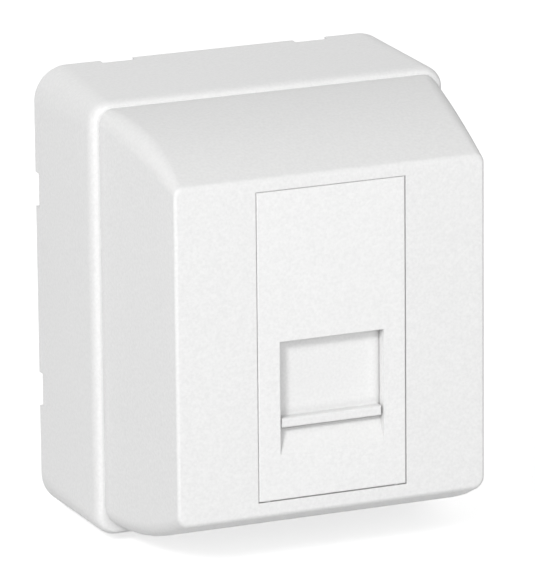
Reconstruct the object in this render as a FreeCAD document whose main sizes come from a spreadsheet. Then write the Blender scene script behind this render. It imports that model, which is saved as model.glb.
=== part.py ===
import FreeCAD, Part

import math
import os
import re

import Sketcher
from FreeCAD import Vector

# Surface mount jack box. Millimetres. X runs to the right seen from the front, Z runs up,
# and the wall is the plane Y = 0. Every depth below is counted from the wall towards the
# room, along -Y.

SIZES = {
    # rear housing
    "housing_width": (55.4, "across the back edge"),
    "housing_height": (65.8, "up the back edge"),
    "housing_depth": (21.3, "wall to the rim that carries the cover"),
    "housing_corner": (5.0, "outer corner radius at the back edge"),
    "housing_wall": (2.2, "sides and floor"),
    "rim_half_width": (27.15, "outside of the rim, before its edge is rounded"),
    "rim_half_height": (31.97, "outside of the rim, before its edge is rounded"),
    "rim_middle": (0.3, "height of the rim's middle above the back edge's middle"),
    "rim_corner": (3.0, "outer corner radius at the rim"),
    "shoulder_width": (0.9, "rounding of the rim's outer edge, across"),
    "shoulder_depth": (1.9, "rounding of the rim's outer edge, along the depth"),
    "notch_width": (5.0, "notches in the back edge"),
    "notch_depth": (1.2, "notch, forward from the wall"),
    "notch_reach": (3.0, "notch, inward from the side"),
    "notch_place": (15.0, "notch centre from the side's middle"),
    "screw_spacing": (44.0, "between the two wall screws"),
    "screw_width": (4.4, "width of a screw slot"),
    "screw_length": (7.4, "length of a screw slot"),
    "screw_pad_rim": (1.8, "raised pad around a screw slot"),
    "screw_pad_height": (1.2, "pad above the floor"),
    "entry_width": (22.0, "cable entry in the floor"),
    "entry_height": (12.5, "cable entry in the floor"),
    "entry_corner": (2.5, "corner radius of the cable entry"),
    "entry_middle": (9.25, "height of the cable entry's middle"),
    "breakout_width": (17.0, "thinned panel for side cable entry"),
    "breakout_depth": (11.0, "top of the thinned panel from the wall"),
    "breakout_groove": (0.9, "width of the groove round the panel"),
    "breakout_reach": (31.3, "groove's floor from the middle, which leaves a thin skin"),
    "tie_width": (8.0, "cable tie bridge"),
    "tie_thickness": (3.0, "cable tie bridge"),
    "tie_height": (4.6, "bridge above the floor"),
    "tie_slot_lift": (0.6, "hole for the tie above the floor"),
    "tie_drop": (12.0, "bridge below the entry's middle"),
    "tie_slot_width": (4.0, "hole for the tie"),
    "tie_slot_height": (2.0, "hole for the tie"),
    # front cover
    "cover_depth": (43.5, "wall to the front face"),
    "foot_half_width": (25.9, "cover outline where it meets the rim"),
    "foot_top": (31.35, "cover outline where it meets the rim"),
    "foot_bottom": (30.2, "below the middle"),
    "face_half_width": (23.45, "front face"),
    "face_top": (24.85, "front face"),
    "face_bottom": (24.2, "below the middle"),
    "top_lean": (0.6, "share of the fall to the face that is straight, above"),
    "bottom_lean": (0.02, "share of the rise to the face that is straight, below"),
    "cover_wall": (1.8, "sides"),
    "cover_inner_corner": (0.8, "corner radius inside the cover"),
    "foot_corner": (2.2, "upper corner radius at the foot"),
    "foot_low_corner": (3.0, "lower corner radius at the foot"),
    "face_corner": (1.3, "upper corner radius at the front face"),
    "face_low_corner": (1.8, "lower corner radius at the front face"),
    "face_round": (0.5, "round of the front face's edge"),
    "lip_gap": (0.1, "between the cover's lip and the housing"),
    "lip_thickness": (1.0, "lip that plugs into the housing"),
    "lip_corner": (1.3, "outer corner radius of the lip"),
    "lip_depth": (2.5, "how far the lip plugs in"),
    "lip_root": (1.6, "how far the lip runs up inside the cover"),
    "hook_width": (8.0, "catching hooks on the lip"),
    "hook_place": (13.0, "hook's middle from the centre"),
    "hook_reach": (0.7, "hook beyond the lip"),
    "hook_height": (1.2, "hook along the depth"),
    "hook_gap": (0.12, "hook in its recess"),
    "hook_slack": (0.6, "recess deeper than its hook"),
    "frame_thickness": (3.0, "cover's front wall round the insert"),
    "frame_rim": (2.2, "width of the thick wall round the insert"),
    "frame_inset": (0.4, "ends of the thick wall short of the face's edges"),
    # insert, a half module
    "insert_width": (22.5, "half module"),
    "insert_height": (45.0, "half module"),
    "insert_middle": (0.55, "height of the insert's middle"),
    "insert_gap": (0.08, "seam round the insert"),
    "insert_lift": (0.03, "insert above the middle of its seat"),
    "insert_plate": (1.6, "front plate"),
    "insert_step": (0.85, "step that the plate rests on"),
    "insert_round": (0.2, "edge of the front plate"),
    "skirt_half_width": (10.35, "skirt behind the plate, outside"),
    "skirt_half_height": (21.6, "skirt behind the plate, outside"),
    "skirt_wall": (1.2, "skirt behind the plate"),
    "skirt_depth": (9.6, "skirt, front face to its back edge"),
    "rib_place": (9.75, "locating ribs from the insert's middle line"),
    "rib_width": (0.5, "locating ribs"),
    "clip_width": (7.0, "clips at the insert's ends"),
    "clip_reach": (0.9, "clip beyond the skirt"),
    "clip_height": (1.3, "clip along the depth"),
    "clip_slit": (0.8, "slits beside a clip"),
    "window_half": (7.9, "half width of the window"),
    "window_top": (1.15, "height of the window's top edge"),
    "sill_height": (-11.9, "height of the window's lower edge"),
    "ramp_foot": (-15.35, "where the scoop meets the face"),
    "ramp_start": (1.45, "scoop's deep edge behind the face"),
    "ramp_backing": (3.2, "back of the sill behind the face"),
    "sill_drop": (1.6, "sill's lower side below the scoop"),
    # shutter
    "shutter_recess": (1.8, "panel behind the face"),
    "shutter_panel": (1.3, "panel thickness"),
    "shutter_gap": (0.2, "running gap of the shutter in its track"),
    "shutter_top": (2.7, "panel's upper edge"),
    "shutter_bottom": (-11.55, "ledge's underside"),
    "ledge_top": (-10.15, "ledge's upper front edge"),
    "ledge_recess": (0.3, "ledge's front behind the face"),
    "ledge_side_gap": (0.2, "ledge beside the window's edge"),
    "ledge_round": (0.25, "edges of the ledge"),
    "ledge_root": (0.3, "fillet between the ledge and the panel"),
    "foot_width": (0.9, "stops beside the ledge"),
    "foot_drop": (0.3, "stops below the ledge"),
    "lug_width": (2.4, "lug that carries the spring"),
    "lug_height": (2.0, "lug that carries the spring"),
    "lug_thickness": (1.0, "lug behind the panel"),
    "peg_radius": (0.7, "peg inside the spring"),
    "peg_height": (1.5, "peg inside the spring"),
    # spring
    "spring_inset": (2.9, "spring's axis behind the face"),
    "spring_radius": (1.0, "middle of the wire"),
    "spring_wire": (0.16, "half the wire's thickness"),
    "spring_turns": (5.0, "turns of the spring"),
    "spring_top": (20.1, "underside of the shelf above the spring"),
    # retainer
    "retainer_inset": (3.4, "retainer's front behind the face"),
    "retainer_plate": (1.3, "plate thickness"),
    "retainer_gap": (0.05, "retainer in the skirt"),
    "retainer_bottom": (-16.6, "plate's lower edge"),
    "channel_half": (1.4, "half width of the spring channel"),
    "channel_depth": (0.9, "spring channel in the plate"),
    "channel_backing": (0.8, "rib behind the spring channel"),
    "channel_rim": (0.3, "rib wider than the channel, each side"),
    "channel_gap": (0.3, "channel below the shutter's lug"),
    "shelf_thickness": (0.8, "shelf above the spring"),
    "port_margin": (0.4, "opening larger than the socket's"),
    "nub_height": (3.6, "nubs that hold the retainer"),
    "nub_place": (12.0, "height of the nubs' middle"),
    "nub_reach": (0.7, "nub beyond the plate"),
    "nub_thickness": (0.7, "nub along the depth"),
    "nub_inset": (0.6, "nub behind the plate's front"),
    "nub_gap": (0.1, "nub in its hole"),
    "collar_wall": (1.1, "collar round the jack"),
    "collar_depth": (8.0, "collar behind the plate"),
    # jack
    "jack_half_width": (7.3, "jack body"),
    "jack_top": (1.5, "jack body"),
    "jack_bottom": (-14.5, "jack body"),
    "jack_length": (14.4, "jack body"),
    "jack_fit": (0.05, "jack in its collar"),
    "jack_round": (0.4, "corners of the jack body and terminal blocks"),
    "port_half": (5.95, "plug opening"),
    "port_top": (-2.25, "plug opening"),
    "port_bottom": (-9.15, "plug opening"),
    "port_depth": (12.6, "plug opening"),
    "latch_half": (3.1, "latch channel"),
    "latch_bottom": (-11.4, "latch channel"),
    "catch_width": (6.0, "catches that hold the jack"),
    "catch_height": (0.8, "catches that hold the jack"),
    "catch_length": (2.0, "catches that hold the jack"),
    "catch_place": (4.0, "catch's middle behind the jack's front"),
    "catch_gap": (0.1, "catch in its hole"),
    "carrier_half": (5.6, "comb that holds the contacts"),
    "carrier_top": (-0.35, "comb that holds the contacts"),
    "comb_inset": (1.2, "comb behind the jack's front"),
    "carrier_gap": (0.05, "comb in the body"),
    "contact_pitch": (1.27, "between two contacts"),
    "contact_wire": (0.2, "half the side of the square contact wire"),
    "contact_slot": (0.62, "groove for a contact"),
    "contact_gap": (0.1, "contact below the groove's roof"),
    "contact_tail": (0.2, "contact's end short of the board's back"),
    "contact_roof": (-1.3, "height of a contact's straight run"),
    "contact_nose": (0.55, "bend radius at a contact's nose"),
    "contact_front": (2.2, "nose behind the jack's front"),
    "contact_tip_inset": (9.6, "tip behind the jack's front"),
    "contact_tip": (-4.4, "height of a contact's tip"),
    "board_half_width": (7.0, "circuit board"),
    "board_top": (1.2, "circuit board"),
    "board_bottom": (-14.2, "circuit board"),
    "board_thickness": (1.4, "circuit board"),
    "board_hole": (0.4, "radius of a contact hole"),
    # wire terminals
    "terminal_inner": (2.7, "terminal block's inner side"),
    "terminal_outer": (7.2, "terminal block's outer side"),
    "terminal_length": (10.5, "terminal block"),
    "terminal_pitch": (3.7, "between two wire slots"),
    "terminal_middle": (-6.5, "height of the terminals' middle"),
    "wire_slot": (0.9, "wire slot"),
    "wire_slot_depth": (5.4, "wire slot"),
    "fork_side": (4.95, "fork's middle from the middle line"),
    "fork_thickness": (0.4, "fork"),
    "fork_width": (2.6, "fork"),
    "fork_inset": (2.0, "fork's points below the block's end"),
    "fork_slit": (0.36, "slit that grips the wire"),
    "fork_slit_depth": (4.6, "slit that grips the wire"),
    "fork_gap": (0.12, "fork in its pocket"),
    "fork_tail": (0.7, "tail through the board"),
    "fork_tail_length": (1.1, "tail through the board"),
    "cap_plate": (2.4, "cap's end plate"),
    "cap_gap": (0.1, "cap round the block"),
    "cap_wall": (1.0, "cap's end walls"),
    "cap_skirt": (3.4, "how far the cap's walls reach down"),
    "cap_rib": (0.7, "rib that presses a wire home"),
    "cap_rib_depth": (1.6, "rib that presses a wire home"),
    "cap_round": (0.3, "cap's outer edges"),
    # building
    "overlap": (0.3, "how far a feature runs into the one it joins"),
    "beyond": (1.0, "how far a cut runs past the surface"),
}

# depths of the jack's planes from the wall
JACK_FRONT = "(cover_depth - retainer_inset - retainer_plate)"
JACK_BACK = f"({JACK_FRONT} - jack_length)"
BOARD_BACK = f"({JACK_BACK} - board_thickness)"
TERMINAL_END = f"({BOARD_BACK} - terminal_length)"

SIDES = (("left", "-1"), ("right", "1"))
ENDS = (("lower", "-1"), ("upper", "1"))
CONTACTS = 8
TERMINALS = 4  # on each side

# sections along a drafted or rounded wall
TRAY_STEPS = 4
HOOD_STEPS = 6
ROUND_STEPS = 5

TOUCHING = 1e-4

doc = FreeCAD.newDocument("SurfaceMountJackBox")
sheet = doc.addObject("Spreadsheet::Sheet", "Sizes")
for row, (alias, (number, note)) in enumerate(SIZES.items(), 1):
    sheet.set(f"A{row}", alias.replace("_", " "))
    sheet.set(f"B{row}", str(number))
    sheet.set(f"C{row}", note)
    sheet.setAlias(f"B{row}", alias)
doc.recompute()


def sized(text):
    """Point each size named in an expression at its spreadsheet cell."""
    return re.sub(r"[a-z]\w+", lambda word: "Sizes." + word.group(0), str(text))


def value(text):
    """Work out an expression now, in millimetres."""
    return float(sheet.evalExpression(sized(text)))


def new_body(label):
    body = doc.addObject("PartDesign::Body", label)
    body.Label = label
    return body


def new_sketch(body, name, role="XZ_Plane", offset="0"):
    """A sketch on one of the body's own planes. XZ_Plane sketches look at the wall."""
    sketch = body.newObject("Sketcher::SketchObject", f"{body.Label}_{name}_sketch")
    plane = next(item for item in body.Origin.OriginFeatures if item.Role == role)
    sketch.AttachmentSupport = [(plane, "")]
    sketch.MapMode = "FlatFace"
    sketch.setExpression("AttachmentOffset.Base.z", sized(offset))
    return sketch


def arc_through(start, end, radius):
    """The short arc from start to end; a negative radius turns it clockwise."""
    if radius < 0:
        start, end = end, start
    chord = end - start
    rise = (radius ** 2 - (chord.Length / 2) ** 2) ** 0.5
    centre = (start + end) / 2 + Vector(-chord.y, chord.x, 0).normalize() * rise
    turn = (start - centre).getAngle(end - centre)
    first = Vector(1, 0, 0).getAngle(start - centre)
    if start.y < centre.y:
        first = -first
    circle = Part.Circle(centre, Vector(0, 0, 1), abs(radius))
    return Part.ArcOfCircle(circle, first, first + turn)


def add_rules(sketch, rules):
    """Add constraints together; one that has a size ends with its expression."""
    sizes = [rule[-1] if isinstance(rule[-1], str) else None for rule in rules]
    plain = [rule if size is None else rule[:-1] for rule, size in zip(rules, sizes)]
    pins = sketch.addConstraint([Sketcher.Constraint(*rule) for rule in plain])
    for pin, size in zip(pins, sizes):
        if size is not None:
            sketch.setExpression(f"Constraints[{pin}]", sized(size))


def draw_loop(sketch, points, arcs=None):
    """Join the points, anticlockwise, into a closed loop; arcs gives a side's radius."""
    arcs = arcs or {}
    places = [Vector(value(x), value(y), 0) for x, y in points]
    sides = []
    for index, start in enumerate(places):
        end = places[(index + 1) % len(places)]
        if index in arcs:
            radius = value(arcs[index])
            side = sketch.addGeometry(arc_through(start, end, radius), False)
            ends = (1, 2) if radius > 0 else (2, 1)
        else:
            side = sketch.addGeometry(Part.LineSegment(start, end), False)
            ends = (1, 2)
        sides.append((side, *ends))
    rules = []
    for index, (side, start, end) in enumerate(sides):
        following, following_start, _ = sides[(index + 1) % len(sides)]
        rules.append(("Coincident", side, end, following, following_start))
        rules.append(("DistanceX", -1, 1, side, start, places[index].x, points[index][0]))
        rules.append(("DistanceY", -1, 1, side, start, places[index].y, points[index][1]))
        if index in arcs:
            rules.append(("Radius", side, abs(value(arcs[index])), arcs[index].lstrip("-")))
    add_rules(sketch, rules)


def centred(middle, half):
    """The two limits of a span about its middle."""
    return (f"{middle} - ({half})", f"{middle} + ({half})")


def draw_rectangle(sketch, x, y):
    draw_loop(sketch, [(x[0], y[0]), (x[1], y[0]), (x[1], y[1]), (x[0], y[1])])


def draw_round_rectangle(sketch, middle, half_width, half_height, corner, low_corner=None):
    """A rectangle with round corners; the lower two may have a radius of their own."""
    across, up = middle
    low_corner = low_corner or corner
    left, right = f"{across} - ({half_width})", f"{across} + ({half_width})"
    low, high = f"{up} - ({half_height})", f"{up} + ({half_height})"
    points = [(f"{left} + {low_corner}", low), (f"{right} - {low_corner}", low),
              (right, f"{low} + {low_corner}"), (right, f"{high} - {corner}"),
              (f"{right} - {corner}", high), (f"{left} + {corner}", high),
              (left, f"{high} - {corner}"), (left, f"{low} + {low_corner}")]
    draw_loop(sketch, points, {1: low_corner, 3: corner, 5: corner, 7: low_corner})


def draw_upright_slot(sketch, middle, half_length, radius):
    """A slot with round ends that runs along the sketch's second axis."""
    across, up = middle
    left, right = f"{across} - {radius}", f"{across} + {radius}"
    low, high = f"{up} - ({half_length}) + {radius}", f"{up} + ({half_length}) - {radius}"
    points = [(across, f"{low} - {radius}"), (right, low), (right, high),
              (across, f"{high} + {radius}"), (left, high), (left, low)]
    draw_loop(sketch, points, {0: radius, 2: radius, 3: radius, 5: radius})


def draw_circle(sketch, x, y, radius):
    place = Vector(value(x), value(y), 0)
    ring = sketch.addGeometry(Part.Circle(place, Vector(0, 0, 1), value(radius)), False)
    add_rules(sketch, [("DistanceX", -1, 1, ring, 3, place.x, x),
                       ("DistanceY", -1, 1, ring, 3, place.y, y),
                       ("Radius", ring, value(radius), radius)])


def extrude(body, name, sketch, length, cut=False, midplane=False):
    """Pad a sketch, or pocket it with cut, along its plane's own direction."""
    feature = body.newObject("PartDesign::Pocket" if cut else "PartDesign::Pad",
                             f"{body.Label}_{name}")
    feature.Profile = sketch
    feature.setExpression("Length", sized(length))
    feature.Midplane = midplane
    feature.Reversed = cut and not midplane
    return feature


def block(body, name, x, z, depth, cut=False):
    """Pad or pocket a plain block between two limits each way."""
    sketch = new_sketch(body, name, offset=depth[0])
    draw_rectangle(sketch, x, z)
    return extrude(body, name, sketch, f"({depth[1]}) - ({depth[0]})", cut)


def blend_edges(body, name, radius, wanted):
    """Round each edge of the body so far that the test wants."""
    doc.recompute()
    base = body.Tip
    edges = [f"Edge{number}" for number, edge in enumerate(base.Shape.Edges, 1) if wanted(edge)]
    fillet = body.newObject("PartDesign::Fillet", f"{body.Label}_{name}")
    fillet.Base = (base, edges)
    fillet.setExpression("Radius", sized(radius))
    return fillet


def at_depth(edge, depth):
    """True for an edge that lies flat at one depth."""
    box = edge.BoundBox
    return box.YLength < TOUCHING and abs(box.YMin + value(depth)) < TOUCHING


def goes_deep(edge):
    """True for an edge that runs along the depth."""
    box = edge.BoundBox
    return box.YLength > max(box.XLength, box.ZLength)


def contact_place(number):
    """Where one of the eight contacts lies across the jack."""
    return f"({number - (CONTACTS - 1) / 2}) * contact_pitch"


def terminal_place(number):
    """Height of one of the four wire terminals on a side."""
    return f"(terminal_middle + ({number - (TERMINALS - 1) / 2}) * terminal_pitch)"


def rounded_front(front, width, depth):
    """Depths and insets that carry a side round to a front plane along a quarter ellipse."""
    turns = [math.pi / 2 * step / ROUND_STEPS for step in range(ROUND_STEPS + 1)]
    return [(f"({front} - {1 - math.sin(turn):.4f} * {depth})", f"{1 - math.cos(turn):.4f} * {width}")
            for turn in turns]


def steps_between(start, end, count):
    """Evenly spaced depths from the start, the end left out."""
    return [f"({start} + {step / count:.4f} * ({end} - {start}))" for step in range(count)]


def loft(body, name, outline, stations, cut=False):
    """Join a rounded rectangle at each depth; outline gives its sizes before the inset."""
    sections = []
    for number, (depth, inset) in enumerate(stations):
        section = new_sketch(body, f"{name}_{number}", offset=depth)
        middle, *spans = outline(depth)
        draw_round_rectangle(section, ("0", middle), *(f"({span} - {inset})" for span in spans))
        sections.append(section)
    doc.recompute()
    kind = "PartDesign::SubtractiveLoft" if cut else "PartDesign::AdditiveLoft"
    feature = body.newObject(kind, f"{body.Label}_{name}")
    feature.Profile = sections[0]
    feature.Sections = sections[1:]
    feature.Ruled = True
    return feature


def tray_outline(depth):
    """The tray narrows evenly from its back edge to its rim, and its corners tighten."""
    way = f"({depth} / housing_depth)"
    return (f"(rim_middle * {way})",
            f"(housing_width / 2 - (housing_width / 2 - rim_half_width) * {way})",
            f"(housing_height / 2 - (housing_height / 2 - rim_half_height) * {way})",
            f"(housing_corner - (housing_corner - rim_corner) * {way})")


def hood_outline(depth):
    """Straight sides; the top and the underside curve more and more towards the face."""
    way = f"(({depth} - housing_depth) / (cover_depth - housing_depth))"
    top = f"(foot_top - (foot_top - face_top) * {way} * (top_lean + (1 - top_lean) * {way}))"
    bottom = (f"(foot_bottom - (foot_bottom - face_bottom) * {way}"
              f" * (bottom_lean + (1 - bottom_lean) * {way}))")
    return (f"({top} - {bottom}) / 2",
            f"(foot_half_width - (foot_half_width - face_half_width) * {way})",
            f"({top} + {bottom}) / 2",
            f"(foot_corner - (foot_corner - face_corner) * {way})",
            f"(foot_low_corner - (foot_low_corner - face_low_corner) * {way})")


def hood_hollow(depth):
    """The hood's inside, one wall in from its outside, with corners of one radius."""
    middle, half_width, half_height, *_ = hood_outline(depth)
    return (middle, f"({half_width} - cover_wall)", f"({half_height} - cover_wall)",
            "cover_inner_corner")


def make_rear_housing():
    """The tray on the wall: drafted sides, rounded shoulder, flat rim, floor with its holes."""
    body = new_body("rear_housing")
    sides = steps_between("0", "(housing_depth - shoulder_depth)", TRAY_STEPS)
    loft(body, "tray", tray_outline, [(depth, "0") for depth in sides]
         + rounded_front("housing_depth", "shoulder_width", "shoulder_depth"))
    inside = steps_between("housing_wall", "housing_depth", TRAY_STEPS) + ["housing_depth"]
    loft(body, "hollow", tray_outline, [(depth, "housing_wall") for depth in inside], cut=True)

    pads = new_sketch(body, "screw_pads", offset="housing_wall - overlap")
    slots = new_sketch(body, "screw_slots")
    for side in ("-", ""):
        middle = ("0", f"{side}screw_spacing / 2")
        draw_upright_slot(pads, middle, "screw_length / 2 + screw_pad_rim",
                          "(screw_width / 2 + screw_pad_rim)")
        draw_upright_slot(slots, middle, "screw_length / 2", "(screw_width / 2)")
    extrude(body, "screw_pads", pads, "screw_pad_height + overlap")
    extrude(body, "screw_slots", slots, "housing_wall + screw_pad_height", cut=True)

    entry = new_sketch(body, "cable_entry")
    draw_round_rectangle(entry, ("0", "entry_middle"), "entry_width / 2", "entry_height / 2",
                         "entry_corner")
    extrude(body, "cable_entry", entry, "housing_wall", cut=True)

    bridge = "entry_middle - tie_drop"
    block(body, "tie_bridge", ("-tie_width / 2", "tie_width / 2"),
          (f"{bridge} - tie_thickness / 2", f"{bridge} + tie_thickness / 2"),
          ("housing_wall - overlap", "housing_wall + tie_height"))
    block(body, "tie_hole", ("-tie_slot_width / 2", "tie_slot_width / 2"),
          (f"{bridge} - tie_thickness", f"{bridge} + tie_thickness"),
          ("housing_wall + tie_slot_lift", "housing_wall + tie_slot_lift + tie_slot_height"), cut=True)

    notches = new_sketch(body, "rim_notches")
    for place in ("-notch_place", "notch_place"):
        span = (f"{place} - notch_width / 2", f"{place} + notch_width / 2")
        for side in ("-", ""):
            across = (f"{side}(housing_width / 2 - notch_reach)", f"{side}(housing_width / 2 + beyond)")
            upward = (f"{side}(housing_height / 2 - notch_reach)", f"{side}(housing_height / 2 + beyond)")
            draw_rectangle(notches, across, span)
            draw_rectangle(notches, span, upward)
    extrude(body, "rim_notches", notches, "notch_depth", cut=True)

    # thin lines inside the upper and lower walls, where a panel breaks out for a side cable
    half = "breakout_width / 2"
    for end, up in ENDS:
        groove = (f"{up} * (housing_height / 2 - housing_wall - beyond)",
                  f"{up} * breakout_reach + rim_middle / 2")
        for side, across in SIDES:
            block(body, f"{end}_breakout_{side}",
                  (f"{across} * ({half} - breakout_groove)", f"{across} * ({half})"),
                  groove, ("housing_wall", "breakout_depth"), cut=True)
        block(body, f"{end}_breakout_top", centred("0", half), groove,
              ("breakout_depth - breakout_groove", "breakout_depth"), cut=True)

    recess = "housing_depth - lip_depth"
    for side, across in SIDES:
        for end, up in ENDS:
            block(body, f"hook_recess_{side}_{end}",
                  (f"{across} * (rim_half_width - housing_wall - beyond)",
                   f"{across} * (rim_half_width - housing_wall + hook_reach - lip_gap + hook_gap)"),
                  centred(f"{up} * hook_place", "hook_width / 2 + hook_gap"),
                  (f"{recess} - hook_slack", f"{recess} + hook_height + hook_gap"), cut=True)
    return body


def make_front_cover():
    """The hood: curved above and below, tapered at the sides, with the insert's opening."""
    body = new_body("front_cover")
    sides = steps_between("housing_depth", "(cover_depth - face_round)", HOOD_STEPS)
    loft(body, "hood", hood_outline, [(depth, "0") for depth in sides]
         + rounded_front("cover_depth", "face_round", "face_round"))
    inside = sides[::2] + ["(cover_depth - cover_wall)"]
    loft(body, "hollow", hood_hollow, [(depth, "0") for depth in inside], cut=True)

    lip = new_sketch(body, "lip", offset="housing_depth - lip_depth")
    outer = ("rim_half_width - housing_wall - lip_gap", "rim_half_height - housing_wall - lip_gap")
    inner = tuple(f"{size} - lip_thickness" for size in outer)
    draw_round_rectangle(lip, ("0", "rim_middle"), *outer, "lip_corner")
    draw_round_rectangle(lip, ("0", "rim_middle"), *inner, "(lip_corner - lip_thickness)")
    extrude(body, "lip", lip, "lip_depth + lip_root")

    frame = new_sketch(body, "frame", offset="cover_depth - frame_thickness")
    seat = ("insert_width / 2 + insert_gap", "insert_height / 2 + insert_gap")
    draw_rectangle(frame, centred("0", f"{seat[0]} + frame_rim"),
                   ("-face_bottom + frame_inset", "face_top - frame_inset"))
    extrude(body, "frame", frame, "frame_thickness - cover_wall + overlap")
    inner_seat = [f"{half} - insert_step" for half in seat]
    seat_middle = "insert_middle - insert_lift"
    block(body, "inner_opening", centred("0", inner_seat[0]), centred(seat_middle, inner_seat[1]),
          ("housing_depth", "cover_depth + beyond"), cut=True)
    block(body, "seat", centred("0", seat[0]), centred(seat_middle, seat[1]),
          ("cover_depth - insert_plate", "cover_depth + beyond"), cut=True)

    for side, across in SIDES:
        for end, up in ENDS:
            block(body, f"hook_{side}_{end}",
                  (f"{across} * ({outer[0]} - overlap)", f"{across} * ({outer[0]} + hook_reach)"),
                  centred(f"{up} * hook_place", "hook_width / 2"),
                  ("housing_depth - lip_depth", "housing_depth - lip_depth + hook_height"))
    return body


def make_insert_face():
    """The half module: front plate, window with its scoop, and the skirt with its clips."""
    body = new_body("insert_face")
    half_width, half_height = "insert_width / 2", "insert_height / 2"
    plate_back = "cover_depth - insert_plate"
    block(body, "plate", centred("0", half_width), centred("insert_middle", half_height),
          (plate_back, "cover_depth"))
    blend_edges(body, "plate_edge", "insert_round", lambda edge: at_depth(edge, "cover_depth"))

    skirt = new_sketch(body, "skirt", offset="cover_depth - skirt_depth")
    draw_rectangle(skirt, centred("0", "skirt_half_width"), centred("insert_middle", "skirt_half_height"))
    draw_rectangle(skirt, centred("0", "skirt_half_width - skirt_wall"),
                   centred("insert_middle", "skirt_half_height - skirt_wall"))
    extrude(body, "skirt", skirt, "skirt_depth - insert_plate + overlap")

    block(body, "sill", centred("0", "skirt_half_width - skirt_wall + overlap"),
          ("ramp_foot - sill_drop", "sill_height"),
          ("cover_depth - ramp_backing", "cover_depth - insert_plate + overlap"))
    block(body, "window", centred("0", "window_half"), ("sill_height", "window_top"),
          ("cover_depth - ramp_backing - beyond", "cover_depth + beyond"), cut=True)
    scoop = new_sketch(body, "scoop", "YZ_Plane")
    draw_loop(scoop, [("-cover_depth", "ramp_foot"), ("-cover_depth + ramp_start", "sill_height"),
                      ("-cover_depth + ramp_start", "sill_height + beyond"),
                      ("-cover_depth - beyond", "sill_height + beyond"),
                      ("-cover_depth - beyond", "ramp_foot")])
    extrude(body, "scoop", scoop, "2 * window_half", cut=True, midplane=True)

    for end, up in ENDS:
        edge = f"insert_middle + {up} * (skirt_half_height"
        block(body, f"clip_{end}", centred("0", "clip_width / 2"),
              (f"{edge} - overlap)", f"{edge} + clip_reach)"),
              ("cover_depth - frame_thickness - clip_height", "cover_depth - frame_thickness"))
        for side, across in SIDES:
            start = f"{across} * (clip_width / 2"
            block(body, f"clip_slit_{end}_{side}", (f"{start})", f"{start} + clip_slit)"),
                  (f"{edge} + overlap)", f"{edge} - skirt_wall - overlap)"),
                  ("cover_depth - skirt_depth", "cover_depth - frame_thickness"), cut=True)
            block(body, f"rib_{end}_{side}", centred(f"{across} * rib_place", "rib_width / 2"),
                  (f"insert_middle + {up} * ({half_height} - overlap)",
                   f"insert_middle - insert_lift + {up} * ({half_height} + insert_gap)"),
                  (plate_back, "cover_depth - insert_round"))
    nub_front = "cover_depth - retainer_inset - nub_inset"
    for side, across in SIDES:
        block(body, f"nub_hole_{side}",
              (f"{across} * (skirt_half_width + overlap)",
               f"{across} * (skirt_half_width - skirt_wall - overlap)"),
              centred("nub_place", "nub_height / 2 + nub_gap"),
              (f"{nub_front} - nub_thickness - nub_gap", f"{nub_front} + nub_gap"), cut=True)
    return body


def make_shutter():
    """The sliding door: a flat panel with a finger ledge across its lower edge."""
    body = new_body("shutter")
    front = "cover_depth - shutter_recess"
    back = f"{front} - shutter_panel"
    half = "skirt_half_width - skirt_wall - shutter_gap"
    ledge_half = "window_half - ledge_side_gap"
    block(body, "panel", centred("0", half), ("shutter_bottom", "shutter_top"), (back, front))
    ledge = new_sketch(body, "ledge", "YZ_Plane")
    ledge_front, inside = "-cover_depth + ledge_recess", f"-({front}) + overlap"
    draw_loop(ledge, [(ledge_front, "shutter_bottom"), (inside, "shutter_bottom"),
                      (inside, "ledge_top + ledge_root"), (f"-({front})", "ledge_top + ledge_root"),
                      (f"-({front}) - ledge_root", "ledge_top"), (ledge_front, "ledge_top")],
              {3: "-(ledge_root)"})
    extrude(body, "ledge", ledge, f"2 * ({ledge_half})", midplane=True)
    blend_edges(body, "ledge_edge", "ledge_round",
                lambda edge: at_depth(edge, "cover_depth - ledge_recess"))

    for side, across in SIDES:
        block(body, f"stop_{side}", (f"{across} * ({half})", f"{across} * ({half} - foot_width)"),
              ("shutter_bottom - foot_drop", "shutter_bottom + overlap"), (back, front))
    block(body, "lug", centred("0", "lug_width / 2"), ("shutter_top - lug_height", "shutter_top"),
          (f"{back} - lug_thickness", f"{back} + overlap"))
    peg = new_sketch(body, "peg", "XY_Plane", "shutter_top - overlap")
    draw_circle(peg, "0", "-cover_depth + spring_inset", "peg_radius")
    extrude(body, "peg", peg, "peg_height + overlap")
    return body


def make_shutter_spring():
    """A fine compression spring between the peg on the shutter and the retainer's shelf."""
    body = new_body("shutter_spring")
    wire = new_sketch(body, "wire", offset="cover_depth - spring_inset")
    draw_rectangle(wire, centred("spring_radius", "spring_wire"),
                   centred("(shutter_top + spring_wire)", "spring_wire"))
    coil = body.newObject("PartDesign::AdditiveHelix", f"{body.Label}_coil")
    axis = new_sketch(body, "axis", offset="cover_depth - spring_inset")
    line = axis.addGeometry(Part.LineSegment(Vector(0, value("shutter_top"), 0),
                                             Vector(0, value("spring_top"), 0)), False)
    add_rules(axis, [("PointOnObject", line, 1, -2), ("PointOnObject", line, 2, -2),
                     ("DistanceY", -1, 1, line, 1, value("shutter_top"), "shutter_top"),
                     ("DistanceY", -1, 1, line, 2, value("spring_top"), "spring_top")])
    coil.Profile = wire
    coil.ReferenceAxis = (axis, ["Edge1"])
    coil.Mode = "height-turns-angle"
    coil.setExpression("Height", sized("spring_top - shutter_top - 2 * spring_wire"))
    coil.setExpression("Turns", sized("spring_turns"))
    return body


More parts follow.
